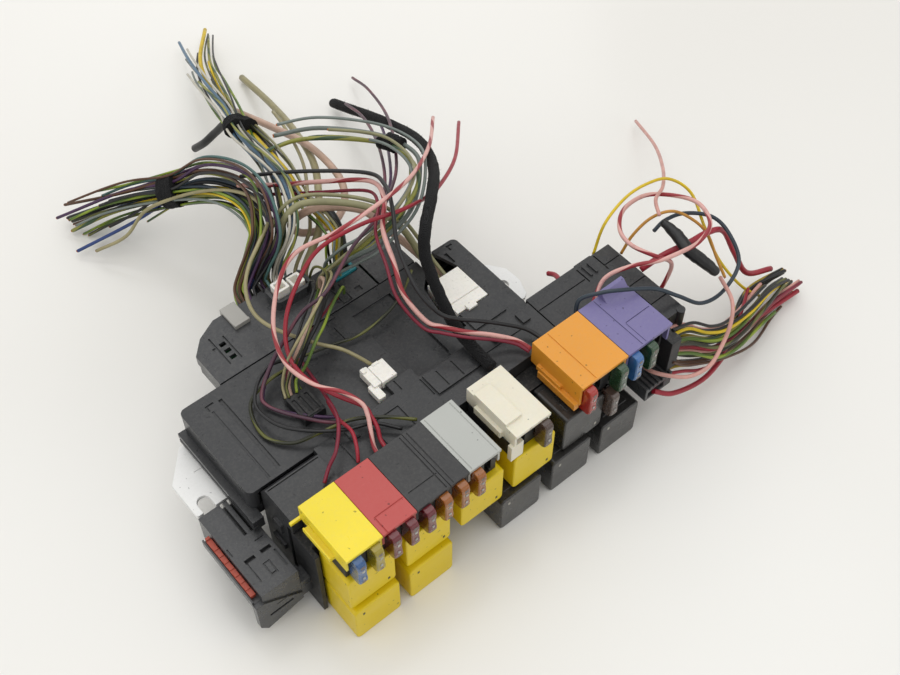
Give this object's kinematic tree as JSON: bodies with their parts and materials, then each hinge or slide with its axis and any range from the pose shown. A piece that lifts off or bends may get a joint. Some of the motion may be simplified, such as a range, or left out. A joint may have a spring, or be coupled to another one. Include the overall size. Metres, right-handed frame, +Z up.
{
  "type": "fuse and relay panel",
  "caption": "Vehicle fuse and relay panel with pull-out relays and blade fuses, coloured fuse covers, a tray with control module, end connectors, a mounting bracket and cut wire ends",
  "frame": {"origin": "centre of the bounding box of everything except the free wires, at the lowest face", "axes": "+X runs along the fuse row to the right, +Y points to the back where the wires leave, +Z up; relays and fuses pull out toward -Y"},
  "size_m": [0.406, 0.4533, 0.1301],
  "materials": {
    "tray_plastic": "satin, slightly dusty",
    "module_plastic": "satin",
    "circuit_board": "coated board",
    "housing_plastic": "fine moulded grain",
    "contact_brass": "plain",
    "bracket_plastic": "smooth, light grey",
    "screw_steel": "turned",
    "lock_plastic": "moulded, ribbed",
    "white_plastic": "smooth, slightly dirty",
    "teal_plastic": "smooth",
    "grey_plastic": "smooth",
    "yellow_cover": "moulded, a little worn",
    "red_cover": "moulded",
    "black_cover": "moulded, scuffed",
    "grey_cover": "moulded",
    "cream_cover": "moulded",
    "orange_cover": "moulded",
    "purple_cover": "moulded",
    "relay_yellow": "satin case",
    "relay_black": "satin case",
    "fuse_blue": "tinted, slightly see-through",
    "fuse_clear_yellow": "tinted, slightly see-through",
    "fuse_dark_red": "tinted, slightly see-through",
    "fuse_red": "tinted, slightly see-through",
    "fuse_orange": "tinted, slightly see-through",
    "fuse_brown": "tinted, slightly see-through",
    "fuse_grey": "tinted, slightly see-through",
    "fuse_green": "tinted, slightly see-through",
    "fuse_light_blue": "tinted, slightly see-through",
    "wire_insulation": "extruded insulation in many colours"
  },
  "bodies": {
    "panel": {"tray_base": "tray_plastic", "tray_cover": "tray_plastic", "module_base": "module_plastic", "module_cover": "module_plastic", "circuit_board": "circuit_board", "underside_housing": "housing_plastic", "socket_board": "housing_plastic", "fuse_sockets": "housing_plastic", "contact_sleeves": "contact_brass", "busbar": "contact_brass", "left_block": "tray_plastic", "middle_cover": "tray_plastic", "right_block": "tray_plastic", "right_end_housing": "housing_plastic", "right_plug": "module_plastic", "mounting_bracket": "bracket_plastic", "cover_screws": "screw_steel", "left_connector": "module_plastic", "white_connector": "white_plastic", "small_header": "white_plastic", "small_plug": "white_plastic", "rear_white_plug": "white_plastic", "teal_insert": "teal_plastic", "grey_clip": "grey_plastic", "terminal_block": "housing_plastic", "cover_yellow": "yellow_cover", "cover_red": "red_cover", "cover_black": "black_cover", "cover_black_narrow": "black_cover", "cover_grey": "grey_cover", "cover_cream": "cream_cover", "cover_orange": "orange_cover", "cover_purple": "purple_cover", "wires_left": "wire_insulation", "wires_right": "wire_insulation"},
    "relay_upper_1": {"relay_upper_1": "relay_yellow"},
    "relay_upper_2": {"relay_upper_2": "relay_yellow"},
    "relay_upper_3": {"relay_upper_3": "relay_yellow"},
    "relay_upper_4": {"relay_upper_4": "relay_yellow"},
    "relay_upper_5": {"relay_upper_5": "relay_black"},
    "relay_lower_1": {"relay_lower_1": "relay_yellow"},
    "relay_lower_2": {"relay_lower_2": "relay_yellow"},
    "relay_lower_4": {"relay_lower_4": "relay_black"},
    "relay_lower_5": {"relay_lower_5": "relay_black"},
    "relay_lower_6": {"relay_lower_6": "relay_black"},
    "fuse_01": {"fuse_01": "fuse_blue"},
    "fuse_02": {"fuse_02": "fuse_clear_yellow"},
    "fuse_03": {"fuse_03": "fuse_dark_red"},
    "fuse_04": {"fuse_04": "fuse_red"},
    "fuse_05": {"fuse_05": "fuse_dark_red"},
    "fuse_06": {"fuse_06": "fuse_orange"},
    "fuse_07": {"fuse_07": "fuse_orange"},
    "fuse_08": {"fuse_08": "fuse_orange"},
    "fuse_09": {"fuse_09": "fuse_brown"},
    "fuse_10": {"fuse_10": "fuse_red"},
    "fuse_11": {"fuse_11": "fuse_grey"},
    "fuse_12": {"fuse_12": "fuse_green"},
    "fuse_13": {"fuse_13": "fuse_light_blue"},
    "fuse_14": {"fuse_14": "fuse_green"},
    "connector_lock": {"connector_lock": "lock_plastic"}
  },
  "joints": [
    {"name": "relay_upper_1_slide", "type": "slide", "parent": "panel", "child": "relay_upper_1", "axis": [0, -1, 0], "range_m": [0, 0.016]},
    {"name": "relay_upper_2_slide", "type": "slide", "parent": "panel", "child": "relay_upper_2", "axis": [0, -1, 0], "range_m": [0, 0.016]},
    {"name": "relay_upper_3_slide", "type": "slide", "parent": "panel", "child": "relay_upper_3", "axis": [0, -1, 0], "range_m": [0, 0.016]},
    {"name": "relay_upper_4_slide", "type": "slide", "parent": "panel", "child": "relay_upper_4", "axis": [0, -1, 0], "range_m": [0, 0.016]},
    {"name": "relay_upper_5_slide", "type": "slide", "parent": "panel", "child": "relay_upper_5", "axis": [0, -1, 0], "range_m": [0, 0.016]},
    {"name": "relay_lower_1_slide", "type": "slide", "parent": "panel", "child": "relay_lower_1", "axis": [0, -1, 0], "range_m": [0, 0.016]},
    {"name": "relay_lower_2_slide", "type": "slide", "parent": "panel", "child": "relay_lower_2", "axis": [0, -1, 0], "range_m": [0, 0.016]},
    {"name": "relay_lower_4_slide", "type": "slide", "parent": "panel", "child": "relay_lower_4", "axis": [0, -1, 0], "range_m": [0, 0.016]},
    {"name": "relay_lower_5_slide", "type": "slide", "parent": "panel", "child": "relay_lower_5", "axis": [0, -1, 0], "range_m": [0, 0.016]},
    {"name": "relay_lower_6_slide", "type": "slide", "parent": "panel", "child": "relay_lower_6", "axis": [0, -1, 0], "range_m": [0, 0.016]},
    {"name": "fuse_01_slide", "type": "slide", "parent": "panel", "child": "fuse_01", "axis": [0, -1, 0], "range_m": [0, 0.013]},
    {"name": "fuse_02_slide", "type": "slide", "parent": "panel", "child": "fuse_02", "axis": [0, -1, 0], "range_m": [0, 0.013]},
    {"name": "fuse_03_slide", "type": "slide", "parent": "panel", "child": "fuse_03", "axis": [0, -1, 0], "range_m": [0, 0.013]},
    {"name": "fuse_04_slide", "type": "slide", "parent": "panel", "child": "fuse_04", "axis": [0, -1, 0], "range_m": [0, 0.013]},
    {"name": "fuse_05_slide", "type": "slide", "parent": "panel", "child": "fuse_05", "axis": [0, -1, 0], "range_m": [0, 0.013]},
    {"name": "fuse_06_slide", "type": "slide", "parent": "panel", "child": "fuse_06", "axis": [0, -1, 0], "range_m": [0, 0.013]},
    {"name": "fuse_07_slide", "type": "slide", "parent": "panel", "child": "fuse_07", "axis": [0, -1, 0], "range_m": [0, 0.013]},
    {"name": "fuse_08_slide", "type": "slide", "parent": "panel", "child": "fuse_08", "axis": [0, -1, 0], "range_m": [0, 0.013]},
    {"name": "fuse_09_slide", "type": "slide", "parent": "panel", "child": "fuse_09", "axis": [0, -1, 0], "range_m": [0, 0.013]},
    {"name": "fuse_10_slide", "type": "slide", "parent": "panel", "child": "fuse_10", "axis": [0, -1, 0], "range_m": [0, 0.013]},
    {"name": "fuse_11_slide", "type": "slide", "parent": "panel", "child": "fuse_11", "axis": [0, -1, 0], "range_m": [0, 0.013]},
    {"name": "fuse_12_slide", "type": "slide", "parent": "panel", "child": "fuse_12", "axis": [0, -1, 0], "range_m": [0, 0.013]},
    {"name": "fuse_13_slide", "type": "slide", "parent": "panel", "child": "fuse_13", "axis": [0, -1, 0], "range_m": [0, 0.013]},
    {"name": "fuse_14_slide", "type": "slide", "parent": "panel", "child": "fuse_14", "axis": [0, -1, 0], "range_m": [0, 0.013]},
    {"name": "connector_lock_slide", "type": "slide", "parent": "panel", "child": "connector_lock", "axis": [0, 1, 0], "range_m": [0, 0.006]}
  ]
}
